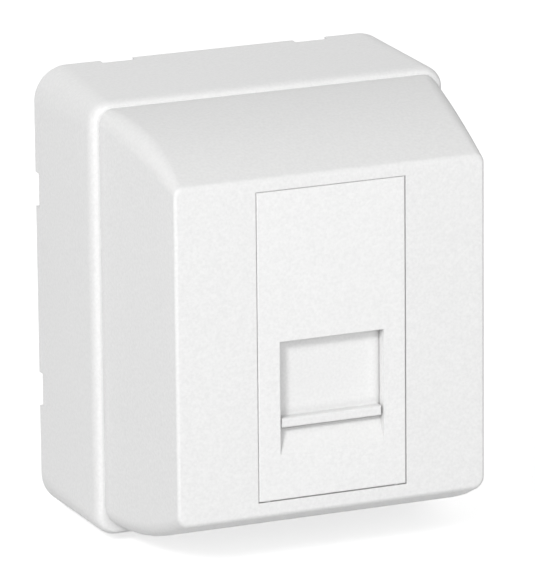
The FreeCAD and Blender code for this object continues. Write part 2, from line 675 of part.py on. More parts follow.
def make_shutter_retainer():
    """The plate behind the shutter, with the spring channel and the collar for the jack."""
    body = new_body("shutter_retainer")
    front = "cover_depth - retainer_inset"
    back = f"{front} - retainer_plate"
    half = "skirt_half_width - skirt_wall - retainer_gap"
    block(body, "plate", centred("0", half), ("retainer_bottom", "spring_top + shelf_thickness"),
          (back, front))
    block(body, "shelf", centred("0", half), ("spring_top", "spring_top + shelf_thickness"),
          (f"{front} - overlap", "cover_depth - insert_plate"))
    collar = new_sketch(body, "collar", offset=f"{back} - collar_depth")
    jack = (centred("0", "jack_half_width + jack_fit"),
            ("jack_bottom - jack_fit", "jack_top + jack_fit"))
    draw_rectangle(collar, centred("0", "jack_half_width + jack_fit + collar_wall"),
                   ("jack_bottom - jack_fit - collar_wall", "jack_top + jack_fit + collar_wall"))
    draw_rectangle(collar, *jack)
    extrude(body, "collar", collar, "collar_depth + overlap")
    block(body, "port", centred("0", "port_half + port_margin"),
          ("latch_bottom - port_margin", "port_top + port_margin"),
          (f"{back} - beyond", f"{front} + beyond"), cut=True)
    block(body, "channel_back", centred("0", "channel_half + channel_rim"),
          ("jack_top + jack_fit + collar_wall", "spring_top + shelf_thickness"),
          (f"{back} - channel_backing", f"{back} + overlap"))
    block(body, "channel", centred("0", "channel_half"),
          ("shutter_top - lug_height - channel_gap", "spring_top"),
          (f"{front} - channel_depth", f"{front} + beyond"), cut=True)
    for side, across in SIDES:
        block(body, f"nub_{side}", (f"{across} * ({half} - overlap)", f"{across} * ({half} + nub_reach)"),
              centred("nub_place", "nub_height / 2"),
              (f"{front} - nub_inset - nub_thickness", f"{front} - nub_inset"))
    for end, up in ENDS:
        wall = "jack_top" if end == "upper" else "-jack_bottom"
        block(body, f"catch_hole_{end}", centred("0", "catch_width / 2 + catch_gap"),
              (f"{up} * ({wall} - overlap)", f"{up} * ({wall} + jack_fit + collar_wall + overlap)"),
              centred(f"{back} - catch_place", "catch_length / 2 + catch_gap"), cut=True)
    return body


def make_jack_housing():
    """The eight-way socket: plug opening, latch channel, and the slot the comb sits in."""
    body = new_body("jack_housing")
    block(body, "block", centred("0", "jack_half_width"), ("jack_bottom", "jack_top"),
          (JACK_BACK, JACK_FRONT))
    blend_edges(body, "corners", "jack_round", goes_deep)
    port_back = f"{JACK_FRONT} - port_depth"
    block(body, "port", centred("0", "port_half"), ("port_bottom", "port_top"),
          (port_back, f"{JACK_FRONT} + beyond"), cut=True)
    block(body, "latch", centred("0", "latch_half"), ("latch_bottom", "port_bottom + overlap"),
          (port_back, f"{JACK_FRONT} + beyond"), cut=True)
    block(body, "comb_slot", centred("0", "carrier_half + carrier_gap"),
          ("port_top - overlap", "carrier_top + carrier_gap"),
          (f"{JACK_BACK} - beyond", f"{JACK_FRONT} - comb_inset + carrier_gap"), cut=True)
    for end, up in ENDS:
        wall = "jack_top" if end == "upper" else "-jack_bottom"
        block(body, f"catch_{end}", centred("0", "catch_width / 2"),
              (f"{up} * ({wall} - overlap)", f"{up} * ({wall} + catch_height)"),
              centred(f"{JACK_FRONT} - catch_place", "catch_length / 2"))
    return body


def make_contact_carrier():
    """The comb that guides the eight contact wires along the roof of the socket."""
    body = new_body("contact_carrier")
    block(body, "comb", centred("0", "carrier_half"), ("port_top", "carrier_top"),
          (JACK_BACK, f"{JACK_FRONT} - comb_inset"))
    grooves = new_sketch(body, "grooves", offset=f"{JACK_BACK} - beyond")
    for number in range(CONTACTS):
        draw_rectangle(grooves, centred(contact_place(number), "contact_slot / 2"),
                       ("port_top - beyond", "contact_roof + contact_wire + contact_gap"))
    extrude(body, "grooves", grooves, "jack_length + 2 * beyond", cut=True)
    return body


def make_contact(number):
    """A spring wire: out of the board, along the roof, round its nose and back to its tip."""
    body = new_body(f"contact_{number + 1}")
    across = contact_place(number)
    limits = {"tail": f"-({BOARD_BACK} + contact_tail)",
              "nose": f"-({JACK_FRONT} - contact_front) + contact_nose",
              "tip": f"-({JACK_FRONT} - contact_tip_inset)", "roof": "contact_roof",
              "low": "contact_tip", "bend": "contact_nose"}
    at = {name: value(text) for name, text in limits.items()}
    shoulder, tip = Vector(at["nose"], at["roof"], 0), Vector(at["tip"], at["low"], 0)
    centre = shoulder - Vector(0, at["bend"], 0)
    reach = tip - centre
    lean = math.atan2(-reach.y, reach.x) - math.asin(at["bend"] / reach.Length)
    leave = centre + Vector(-math.sin(lean), -math.cos(lean), 0) * at["bend"]
    nose = Part.ArcOfCircle(Part.Circle(centre, Vector(0, 0, 1), at["bend"]),
                            math.pi / 2, 1.5 * math.pi - lean)

    path = new_sketch(body, "path", "YZ_Plane", across)
    path.addGeometry([Part.LineSegment(Vector(at["tail"], at["roof"], 0), shoulder), nose,
                      Part.LineSegment(leave, tip)], False)
    add_rules(path, [("Tangent", 0, 2, 1, 1), ("Tangent", 1, 2, 2, 1),
                     ("DistanceX", -1, 1, 0, 1, at["tail"], limits["tail"]),
                     ("DistanceY", -1, 1, 0, 1, at["roof"], limits["roof"]),
                     ("DistanceX", -1, 1, 0, 2, at["nose"], limits["nose"]),
                     ("DistanceY", -1, 1, 0, 2, at["roof"], limits["roof"]),
                     ("Radius", 1, at["bend"], limits["bend"]),
                     ("DistanceX", -1, 1, 2, 2, at["tip"], limits["tip"]),
                     ("DistanceY", -1, 1, 2, 2, at["low"], limits["low"])])
    section = new_sketch(body, "section", offset=f"{BOARD_BACK} + contact_tail")
    draw_rectangle(section, centred(across, "contact_wire"), centred("contact_roof", "contact_wire"))
    doc.recompute()
    wire = body.newObject("PartDesign::AdditivePipe", f"{body.Label}_wire")
    wire.Profile = section
    wire.Spine = (path, ["Edge1", "Edge2", "Edge3"])
    return body


def make_circuit_board():
    """The board that joins the contacts to the wire terminals, with its plated holes."""
    body = new_body("jack_circuit_board")
    block(body, "board", centred("0", "board_half_width"), ("board_bottom", "board_top"),
          (BOARD_BACK, JACK_BACK))
    holes = new_sketch(body, "contact_holes", offset=f"{BOARD_BACK} - beyond")
    for number in range(CONTACTS):
        draw_circle(holes, contact_place(number), "contact_roof", "board_hole")
    extrude(body, "contact_holes", holes, "board_thickness + 2 * beyond", cut=True)
    tails = new_sketch(body, "tail_holes", offset=f"{BOARD_BACK} - beyond")
    for _, across in SIDES:
        for number in range(TERMINALS):
            draw_rectangle(tails, centred(f"{across} * fork_side", "fork_thickness / 2 + fork_gap"),
                           centred(terminal_place(number), "fork_tail / 2 + fork_gap"))
    extrude(body, "tail_holes", tails, "board_thickness + 2 * beyond", cut=True)
    return body


def make_terminal_block(side, across):
    """Half of the wire terminals: four slots, each crossed by a fork's pocket."""
    body = new_body(f"idc_block_{side}")
    block(body, "block", (f"{across} * terminal_inner", f"{across} * terminal_outer"),
          ("board_bottom", "board_top"), (TERMINAL_END, BOARD_BACK))
    blend_edges(body, "corners", "jack_round", goes_deep)
    slots = new_sketch(body, "wire_slots", offset=f"{TERMINAL_END} - beyond")
    pockets = new_sketch(body, "fork_pockets", offset=f"{TERMINAL_END} - beyond")
    for number in range(TERMINALS):
        draw_rectangle(slots,
                       (f"{across} * (terminal_inner - beyond)", f"{across} * (terminal_outer + beyond)"),
                       centred(terminal_place(number), "wire_slot / 2"))
        draw_rectangle(pockets, centred(f"{across} * fork_side", "fork_thickness / 2 + fork_gap"),
                       centred(terminal_place(number), "fork_width / 2 + fork_gap"))
    extrude(body, "wire_slots", slots, "wire_slot_depth + beyond", cut=True)
    extrude(body, "fork_pockets", pockets, "terminal_length + 2 * beyond", cut=True)
    return body


def make_fork(number, across):
    """A slit fork that cuts through a wire's insulation and grips it, with its board tail."""
    body = new_body(f"idc_contact_{number + 1}")
    place = terminal_place(number % TERMINALS)
    thickness = centred(f"{across} * fork_side", "fork_thickness / 2")
    block(body, "blade", thickness, centred(place, "fork_width / 2"),
          (f"{TERMINAL_END} + fork_inset", BOARD_BACK))
    block(body, "tail", thickness, centred(place, "fork_tail / 2"),
          (f"{BOARD_BACK} - overlap", f"{BOARD_BACK} + fork_tail_length"))
    points = f"{TERMINAL_END} + fork_inset"
    block(body, "slit", centred(f"{across} * fork_side", "fork_thickness"), centred(place, "fork_slit / 2"),
          (f"{points} - beyond", f"{points} + fork_slit_depth"), cut=True)
    return body


def make_cap(side, across):
    """A dust cap: end plate, a wall at each end, and a rib over each wire."""
    body = new_body(f"idc_cap_{side}")
    width = (f"{across} * terminal_inner", f"{across} * terminal_outer")
    ends = ("board_bottom - cap_gap - cap_wall", "board_top + cap_gap + cap_wall")
    block(body, "cap", width, ends, (f"{TERMINAL_END} - cap_plate", f"{TERMINAL_END} + cap_skirt"))
    block(body, "hollow",
          (f"{across} * (terminal_inner - beyond)", f"{across} * (terminal_outer + beyond)"),
          ("board_bottom - cap_gap", "board_top + cap_gap"),
          (TERMINAL_END, f"{TERMINAL_END} + cap_skirt + beyond"), cut=True)
    ribs = new_sketch(body, "ribs", offset=f"{TERMINAL_END} - overlap")
    for number in range(TERMINALS):
        draw_rectangle(ribs, width, centred(terminal_place(number), "cap_rib / 2"))
    extrude(body, "ribs", ribs, "cap_rib_depth + overlap")
    blend_edges(body, "outer_edges", "cap_round",
                lambda edge: at_depth(edge, f"{TERMINAL_END} - cap_plate"))
    return body


def check(bodies):
    """Stop before anything is written if a feature failed or a solid is unsound."""
    for item in doc.Objects:
        if {"Invalid", "Error"} & set(item.State):
            raise RuntimeError(f"{item.Name} failed: {item.State}")
        if item.TypeId == "Sketcher::SketchObject" and not item.FullyConstrained:
            raise RuntimeError(f"{item.Name} has a loose end")
    for body in bodies:
        shape = body.Shape
        if shape.isNull() or not shape.isValid() or len(shape.Solids) != 1:
            raise RuntimeError(f"{body.Label} is not one sound solid")
        box = shape.optimalBoundingBox(True)
        print(f"{body.Label}: {shape.Volume:.1f} mm3, "
              f"{box.XLength:.2f} x {box.YLength:.2f} x {box.ZLength:.2f} mm")


def write(bodies):
    os.makedirs("parts", exist_ok=True)
    for body in bodies:
        body.Shape.exportStep(f"parts/{body.Label}.step")


bodies = [make_rear_housing(), make_front_cover(), make_insert_face(), make_shutter(),
          make_shutter_spring(), make_shutter_retainer(), make_jack_housing(),
          make_contact_carrier(), make_circuit_board()]
bodies += [make_contact(number) for number in range(CONTACTS)]
bodies += [make_fork(number, SIDES[number // TERMINALS][1]) for number in range(2 * TERMINALS)]
for side, across in SIDES:
    bodies += [make_terminal_block(side, across), make_cap(side, across)]
doc.recompute()
check(bodies)
write(bodies)
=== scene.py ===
import math

import bpy
import bmesh
from mathutils import Matrix, Vector


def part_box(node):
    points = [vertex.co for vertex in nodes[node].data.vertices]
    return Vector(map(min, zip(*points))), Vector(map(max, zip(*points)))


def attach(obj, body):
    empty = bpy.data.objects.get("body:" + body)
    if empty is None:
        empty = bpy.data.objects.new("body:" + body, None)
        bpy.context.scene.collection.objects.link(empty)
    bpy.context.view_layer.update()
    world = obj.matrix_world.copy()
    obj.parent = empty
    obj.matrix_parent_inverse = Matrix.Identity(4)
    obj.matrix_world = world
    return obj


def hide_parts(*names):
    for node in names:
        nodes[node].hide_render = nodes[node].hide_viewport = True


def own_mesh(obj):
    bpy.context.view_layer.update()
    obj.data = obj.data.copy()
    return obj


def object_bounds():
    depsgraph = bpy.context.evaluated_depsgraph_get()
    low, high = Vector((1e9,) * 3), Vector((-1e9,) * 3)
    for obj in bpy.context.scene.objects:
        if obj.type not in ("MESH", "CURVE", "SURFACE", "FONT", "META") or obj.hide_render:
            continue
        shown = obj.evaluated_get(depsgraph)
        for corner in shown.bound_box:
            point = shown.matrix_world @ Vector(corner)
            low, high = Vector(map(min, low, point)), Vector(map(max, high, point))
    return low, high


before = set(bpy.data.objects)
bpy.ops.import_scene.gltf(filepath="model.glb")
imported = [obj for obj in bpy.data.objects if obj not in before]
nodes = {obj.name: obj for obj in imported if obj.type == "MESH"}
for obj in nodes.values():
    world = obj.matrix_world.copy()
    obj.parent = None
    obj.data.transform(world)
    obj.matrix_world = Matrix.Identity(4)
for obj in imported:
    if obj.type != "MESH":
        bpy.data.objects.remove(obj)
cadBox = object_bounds()
mm = 0.001
print("jack box loaded:", len(nodes), "pieces from the frame")


# small helpers for node trees

def addNode(tree, kind, inputs=None, **settings):
    node = tree.nodes.new(kind)
    for name, setting in settings.items():
        setattr(node, name, setting)
    for name, content in (inputs or {}).items():
        if isinstance(content, bpy.types.NodeSocket):
            tree.links.new(content, node.inputs[name])
        else:
            node.inputs[name].default_value = content
    return node


def addMath(tree, operation, *content, clamp=False):
    node = addNode(tree, "ShaderNodeMath", dict(enumerate(content)), operation=operation, use_clamp=clamp)
    return node.outputs[0]


def spread(tree, mask, low, high):
    # stretches a 0 to 1 mask over a range of values
    node = addNode(tree, "ShaderNodeMapRange", {"Value": mask, "To Min": low, "To Max": high})
    return node.outputs["Result"]


def mixColour(tree, factor, first, second):
    mix = addNode(tree, "ShaderNodeMix", data_type="RGBA")
    shown = {socket.name: socket for socket in mix.inputs if socket.enabled}
    for name, content in (("Factor", factor), ("A", first), ("B", second)):
        if isinstance(content, bpy.types.NodeSocket):
            tree.links.new(content, shown[name])
        else:
            shown[name].default_value = (*content, 1.0)
    return next(socket for socket in mix.outputs if socket.enabled)


def startGroup(name, inputs, outputs):
    tree = bpy.data.node_groups.new(name, "ShaderNodeTree")
    for label, start in inputs.items():
        socket = tree.interface.new_socket(label, in_out="INPUT", socket_type="NodeSocketFloat")
        socket.default_value = start
    for label, kind in outputs.items():
        tree.interface.new_socket(label, in_out="OUTPUT", socket_type=kind)
    given = tree.nodes.new("NodeGroupInput").outputs
    out = tree.nodes.new("NodeGroupOutput").inputs
    return tree, given, out


def placeGroup(tree, group, look):
    # puts a shared effect in a material and sets the values the look names
    node = addNode(tree, "ShaderNodeGroup", node_tree=group)
    for socket in node.inputs:
        if socket.name in look:
            socket.default_value = look[socket.name]
    return node.outputs


# effects that several finishes share; a finish may set its own value for any of their sockets

grainEffect = {
    "sockets": {"grainPerMetre": 5200.0, "fleckPerMetre": 2400.0, "cloudPerMetre": 90.0, "swell": 0.25},
    "detail": {"grainPerMetre": 2.0, "fleckPerMetre": 1.0, "cloudPerMetre": 1.0},
}


def makeMouldGrain(look):
    # the matt grain the mould leaves, small flecks of tone, and a slow cloudiness
    results = {"height": "NodeSocketFloat", "fleck": "NodeSocketFloat", "cloud": "NodeSocketFloat"}
    tree, given, out = startGroup("mouldGrain", look["sockets"], results)
    place = addNode(tree, "ShaderNodeTexCoord").outputs["Object"]
    noises = {}
    for name, detail in look["detail"].items():
        settings = {"Vector": place, "Scale": given[name], "Detail": detail}
        noises[name] = addNode(tree, "ShaderNodeTexNoise", settings).outputs["Fac"]
    swell = addMath(tree, "MULTIPLY", noises["fleckPerMetre"], given["swell"])
    tree.links.new(addMath(tree, "ADD", noises["grainPerMetre"], swell), out["height"])
    tree.links.new(noises["fleckPerMetre"], out["fleck"])
    tree.links.new(noises["cloudPerMetre"], out["cloud"])
    return tree


seamEffect = {"sockets": {"seamReach": 0.7 * mm, "seamStrength": 0.5}, "rays": 8}


def makeSeamShade(look):
    # painted shade in tight seams and recesses, where light is lost: most in a seam, 0 on open surface
    tree, given, out = startGroup("seamShade", look["sockets"], {"mask": "NodeSocketFloat"})
    sky = addNode(tree, "ShaderNodeAmbientOcclusion", {"Distance": given["seamReach"]},
                  samples=look["rays"])
    closed = addMath(tree, "SUBTRACT", 1.0, sky.outputs["AO"])
    tree.links.new(addMath(tree, "MULTIPLY", closed, given["seamStrength"], clamp=True), out["mask"])
    return tree


edgeEffect = {"sockets": {"edgeRadius": 0.18 * mm}, "rays": 6, "fullTurn": 0.8}


def makeSoftEdge(look):
    # rounds sharp moulded edges in the light, and marks where handling polishes them
    results = {"normal": "NodeSocketVector", "edge": "NodeSocketFloat"}
    tree, given, out = startGroup("softEdge", look["sockets"], results)
    bevel = addNode(tree, "ShaderNodeBevel", {"Radius": given["edgeRadius"]}, samples=look["rays"])
    flat = addNode(tree, "ShaderNodeNewGeometry").outputs["Normal"]
    turn = addNode(tree, "ShaderNodeVectorMath", {0: bevel.outputs["Normal"], 1: flat},
                   operation="DOT_PRODUCT")
    edge = addNode(tree, "ShaderNodeMapRange", {"Value": turn.outputs["Value"], "From Min": 1.0,
                                                "From Max": look["fullTurn"]})
    tree.links.new(bevel.outputs["Normal"], out["normal"])
    tree.links.new(edge.outputs["Result"], out["edge"])
    return tree


topShadeEffect = {"sockets": {"topShadeShare": 0.1}, "unshadedBelow": 0.05, "fullAbove": 0.4}


def makePaintedTopShade(look):
    # painted shade on faces turned upwards, darkening them: none on upright ones, and in full well before
    # they lie level
    tree, given, out = startGroup("paintedTopShade", look["sockets"], {"mask": "NodeSocketFloat"})
    facing = addNode(tree, "ShaderNodeNewGeometry").outputs["Normal"]
    upward = addNode(tree, "ShaderNodeSeparateXYZ", {"Vector": facing}).outputs["Z"]
    lying = addNode(tree, "ShaderNodeMapRange", {"Value": upward, "From Min": look["unshadedBelow"],
                                                 "From Max": look["fullAbove"]})
    lying = lying.outputs["Result"]
    tree.links.new(addMath(tree, "MULTIPLY", lying, given["topShadeShare"], clamp=True), out["mask"])
    return tree


lineEffect = {"sockets": {"acrossPerMetre": 9000.0, "alongPerMetre": 300.0}, "detail": 3.0}


def makeDrawnLines(look):
    # the lines that drawing or rolling leaves along metal
    tree, given, out = startGroup("drawnLines", look["sockets"], {"height": "NodeSocketFloat"})
    place = addNode(tree, "ShaderNodeTexCoord").outputs["Object"]
    across, along = given["acrossPerMetre"], given["alongPerMetre"]
    stretch = addNode(tree, "ShaderNodeCombineXYZ", {"X": across, "Y": along, "Z": across}).outputs[0]
    scaled = addNode(tree, "ShaderNodeVectorMath", {0: place, 1: stretch}, operation="MULTIPLY")
    lines = addNode(tree, "ShaderNodeTexNoise", {"Vector": scaled.outputs[0], "Scale": 1.0,
                                                 "Detail": look["detail"]})
    tree.links.new(lines.outputs["Fac"], out["height"])
    return tree


mouldGrain = makeMouldGrain(grainEffect)
seamShade = makeSeamShade(seamEffect)
softEdge = makeSoftEdge(edgeEffect)
paintedTopShade = makePaintedTopShade(topShadeEffect)
drawnLines = makeDrawnLines(lineEffect)
print("shared effects built")


# moulded plastics

def startFinish(name):
    finish = bpy.data.materials.new(name)
    finish.use_nodes = True
    tree = finish.node_tree
    return finish, tree, tree.nodes["Principled BSDF"]


def addBump(tree, shader, height, look, **under):
    bump = addNode(tree, "ShaderNodeBump", {"Height": height, "Strength": look["bump"],
                                            "Distance": look["depth"], **under})
    tree.links.new(bump.outputs["Normal"], shader.inputs["Normal"])


def makePlastic(name, look):
    finish, tree, shader = startFinish(name)
    grain = placeGroup(tree, mouldGrain, look)
    seamShading = placeGroup(tree, seamShade, look)
    soft = placeGroup(tree, softEdge, look)
    body = mixColour(tree, grain["fleck"], look["dark"], look["light"])
    cloud = spread(tree, grain["cloud"], 0.0, look["cloudShare"])
    clouded = mixColour(tree, cloud, body, look["cloudColour"])
    # painted shade darkens the faces that turn upwards
    topShadeMask = placeGroup(tree, paintedTopShade, look)
    topShaded = mixColour(tree, topShadeMask["mask"], clouded, look["dustColour"])
    # the seam mask paints shade into the colour of seams and recesses
    tree.links.new(mixColour(tree, seamShading["mask"], topShaded, look["seamColour"]), shader.inputs["Base Color"])
    matt = spread(tree, grain["fleck"], *look["roughness"])
    polish = addMath(tree, "MULTIPLY", soft["edge"], look["edgePolish"])
    tree.links.new(addMath(tree, "SUBTRACT", matt, polish), shader.inputs["Roughness"])
    addBump(tree, shader, grain["height"], look, Normal=soft["normal"])
    shader.inputs["IOR"].default_value = look["ior"]
    return finish


whiteCase = {
    "light": (0.885, 0.885, 0.883), "dark": (0.745, 0.745, 0.745), "seamColour": (0.45, 0.45, 0.45),
    "cloudColour": (0.79, 0.79, 0.785), "cloudShare": 0.2, "roughness": (0.48, 0.64), "ior": 1.5,
    "grainPerMetre": 5200.0, "fleckPerMetre": 2400.0, "cloudPerMetre": 90.0, "swell": 0.5,
    "bump": 0.4, "depth": 0.02 * mm, "seamReach": 1.2 * mm, "seamStrength": 0.7,
    "edgeRadius": 0.18 * mm, "edgePolish": 0.1, "topShadeShare": 0.2, "dustColour": (0.6, 0.6, 0.59),
}
# the housing's white is a lighter copy of the case white: painted light on the tray, which the lamps
# leave darker than the hood
whiteHousingLit = {**whiteCase, "light": (0.905, 0.905, 0.903), "dark": (0.77, 0.77, 0.77),
                "topShadeShare": 0.1}
# the module's wider painted seam shade darkens its recess and the ramp near the walls
whiteModule = {**whiteCase, "light": (0.91, 0.91, 0.908), "dark": (0.77, 0.77, 0.77),
               "bump": 0.3, "topShadeShare": 0.22,
               "seamColour": (0.4, 0.4, 0.4), "seamReach": 1.4 * mm, "seamStrength": 0.45}
# the shutter takes a stronger painted seam shade, which paints the shadow around its recess behind the
# window
whiteShutter = {**whiteModule, "light": (0.89, 0.89, 0.888), "dark": (0.75, 0.75, 0.75),
                "roughness": (0.42, 0.54), "bump": 0.2, "seamStrength": 0.7}
greyRetainer = {**whiteCase, "light": (0.78, 0.78, 0.77), "dark": (0.7, 0.7, 0.7),
                "cloudColour": (0.68, 0.68, 0.67)}
blackJack = {**whiteCase, "light": (0.024, 0.024, 0.025), "dark": (0.011, 0.011, 0.012),
             "cloudColour": (0.018, 0.018, 0.019), "dustColour": (0.06, 0.06, 0.058),
             "seamColour": (0.05, 0.05, 0.048)}
ivoryTerminal = {**whiteCase, "light": (0.74, 0.73, 0.68), "dark": (0.64, 0.63, 0.58),
                 "cloudColour": (0.62, 0.6, 0.55)}
smokeCap = {**whiteCase, "light": (0.42, 0.5, 0.6), "dark": (0.35, 0.43, 0.53),
            "cloudColour": (0.36, 0.42, 0.5)}
finishes = {
    "casePlastic": makePlastic("casePlastic", whiteCase),
    "housingPlasticLit": makePlastic("housingPlasticLit", whiteHousingLit),
    "modulePlastic": makePlastic("modulePlastic", whiteModule),
    "shutterPlastic": makePlastic("shutterPlastic", whiteShutter),
    "retainerPlastic": makePlastic("retainerPlastic", greyRetainer),
    "jackPlastic": makePlastic("jackPlastic", blackJack),
    "terminalPlastic": makePlastic("terminalPlastic", ivoryTerminal),
    "capPlastic": makePlastic("capPlastic", smokeCap),
}


# metals and the board

def makeMetal(name, look):
    finish, tree, shader = startFinish(name)
    lines = placeGroup(tree, drawnLines, look)["height"]
    tree.links.new(mixColour(tree, lines, look["dark"], look["light"]), shader.inputs["Base Color"])
    tree.links.new(spread(tree, lines, *look["roughness"]), shader.inputs["Roughness"])
    addBump(tree, shader, lines, look)
    shader.inputs["Metallic"].default_value = 1.0
    return finish


springSteel = {"light": (0.62, 0.61, 0.6), "dark": (0.45, 0.45, 0.45), "roughness": (0.2, 0.34),
               "acrossPerMetre": 9000.0, "alongPerMetre": 9000.0, "bump": 0.2, "depth": 0.01 * mm}
goldWire = {**springSteel, "light": (0.95, 0.72, 0.3), "dark": (0.8, 0.57, 0.2),
            "roughness": (0.14, 0.26), "alongPerMetre": 400.0}
tinSheet = {**springSteel, "light": (0.78, 0.77, 0.75), "dark": (0.6, 0.6, 0.58),
            "roughness": (0.28, 0.42), "alongPerMetre": 500.0}
finishes["springSteel"] = makeMetal("springSteel", springSteel)
finishes["contactGold"] = makeMetal("contactGold", goldWire)
finishes["tinPlate"] = makeMetal("tinPlate", tinSheet)

boardLook = {"lacquer": (0.01, 0.075, 0.03), "overCopper": (0.02, 0.13, 0.045),
             "trackPerMetre": 420.0, "trackEdge": (0.05, 0.1),
             "grainPerMetre": 2500.0, "fleckPerMetre": 1200.0, "roughness": (0.22, 0.34),
             "bump": 0.3, "depth": 0.03 * mm}


def makeBoardLacquer(look):
    # green lacquer, lighter and a little proud where it runs over a copper track
    finish, tree, shader = startFinish("boardLacquer")
    place = addNode(tree, "ShaderNodeTexCoord").outputs["Object"]
    tracks = addNode(tree, "ShaderNodeTexVoronoi", {"Vector": place, "Scale": look["trackPerMetre"]},
                     distance="MANHATTAN", feature="DISTANCE_TO_EDGE")
    inner, outer = look["trackEdge"]
    copper = addNode(tree, "ShaderNodeMapRange", {"Value": tracks.outputs["Distance"], "From Min": inner,
                                                  "From Max": outer, "To Min": 1.0, "To Max": 0.0})
    copper = copper.outputs["Result"]
    colour = mixColour(tree, copper, look["lacquer"], look["overCopper"])
    tree.links.new(colour, shader.inputs["Base Color"])
    grain = placeGroup(tree, mouldGrain, look)
    tree.links.new(spread(tree, grain["fleck"], *look["roughness"]), shader.inputs["Roughness"])
    addBump(tree, shader, copper, look)
    return finish


finishes["boardLacquer"] = makeBoardLacquer(boardLook)

# a piece takes the finish of the longest beginning that fits its name
dressedIn = {
    "rear_housing": "housingPlasticLit", "front_cover": "casePlastic", "insert_face": "modulePlastic",
    "shutter": "shutterPlastic", "shutter_retainer": "retainerPlastic", "shutter_spring": "springSteel",
    "jack_housing": "jackPlastic", "contact_carrier": "jackPlastic", "contact_": "contactGold",
    "jack_circuit_board": "boardLacquer",
    "idc_block": "terminalPlastic", "idc_contact": "tinPlate", "idc_cap": "capPlastic",
}
for name, node in nodes.items():
    start = max((key for key in dressedIn if name.startswith(key)), key=len)
    for slot in node.material_slots:
        slot.material = finishes[dressedIn[start]]
print("finishes placed on", len(nodes), "pieces")


# the hood: its top arches and its upper corners round off more, most of all half way to the face;
# weld, level, offArc and offSkin say how near points count as the same, level, on an arc or outside

hoodArch = {"rise": 0.75 * mm, "lean": 0.1 * mm, "rounding": 1.0 * mm, "sharpAngle": 30.0,
            "weld": 0.001 * mm, "level": 0.01 * mm, "offArc": 0.03 * mm, "offSkin": 0.3 * mm}


def archOutline(outline, look, bulge):
    # the top rises, the upper corner arcs grow and lean in, and the lower half stays where it is
    width = max(abs(vertex.co.x) for vertex in outline)
    top = max(vertex.co.z for vertex in outline)
    topRow = [vertex for vertex in outline if vertex.co.z > top - look["level"]]
    corner = width - max(abs(vertex.co.x) for vertex in topRow)
    newTop = top + look["rise"] * bulge
    newWidth = width - look["lean"] * bulge
    newCorner = corner + look["rounding"] * bulge
    for vertex in outline:
        side = math.copysign(1.0, vertex.co.x)
        out = Vector((abs(vertex.co.x) - (width - corner), vertex.co.z - (top - corner)))
        if min(out) > -look["level"] and abs(out.length - corner) < look["offArc"]:
            out.normalize()
            vertex.co.x = side * (newWidth - newCorner + newCorner * out.x)
            vertex.co.z = newTop - newCorner + newCorner * out.y
        elif vertex in topRow:
            vertex.co.z = newTop


def archHood(look):
    source = nodes["front_cover"]
    rim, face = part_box("rear_housing")[0][1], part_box("front_cover")[0][1]
    mesh = bmesh.new()
    mesh.from_mesh(source.data)
    bmesh.ops.remove_doubles(mesh, verts=mesh.verts, dist=look["weld"])
    # the points in front of the tray's rim, sorted by how far forward they lie
    outlines = {}
    for vertex in mesh.verts:
        if vertex.co.y < rim - look["level"]:
            outlines.setdefault(round(vertex.co.y / look["level"]), []).append(vertex)
    tops = {level: max(vertex.co.z for vertex in outline) for level, outline in outlines.items()}
    rimTop, faceTop = max(tops.values()), tops[min(tops)]
    arched = 0
    for level, outline in outlines.items():
        share = (rim - outline[0].co.y) / (rim - face)
        straight = rimTop + (faceTop - rimTop) * share
        # what stays well below the straight line from rim to face is inside the hood
        if tops[level] > straight - look["offSkin"] and share < 1.0:
            archOutline(outline, look, math.sin(math.pi * share))
            arched += 1
    data = bpy.data.meshes.new("archedHood")
    mesh.to_mesh(data)
    mesh.free()
    # the normals that came with the copy belong to the straight hood
    if "custom_normal" in data.attributes:
        data.attributes.remove(data.attributes["custom_normal"])
    data.shade_smooth()
    data.set_sharp_from_angle(angle=math.radians(look["sharpAngle"]))
    for slot in source.material_slots:
        data.materials.append(slot.material)
    hood = bpy.data.objects.new("archedHood", data)
    bpy.context.collection.objects.link(hood)
    evenNormals = hood.modifiers.new("evenNormals", "WEIGHTED_NORMAL")      # keeps the flat face flat
    evenNormals.keep_sharp = True
    print("hood arched:", arched, "outlines")
    return hood


hood = archHood(hoodArch)
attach(hood, "box")
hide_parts("front_cover")


# the shutter's coil spring, in round wire

shutterSpring = {"wire": 0.16 * mm, "turns": 11, "closedTurns": 1.0, "closedPitch": 0.34 * mm,
                 "stepsPerTurn": 28, "wireSides": 8, "pressedShare": 0.42}


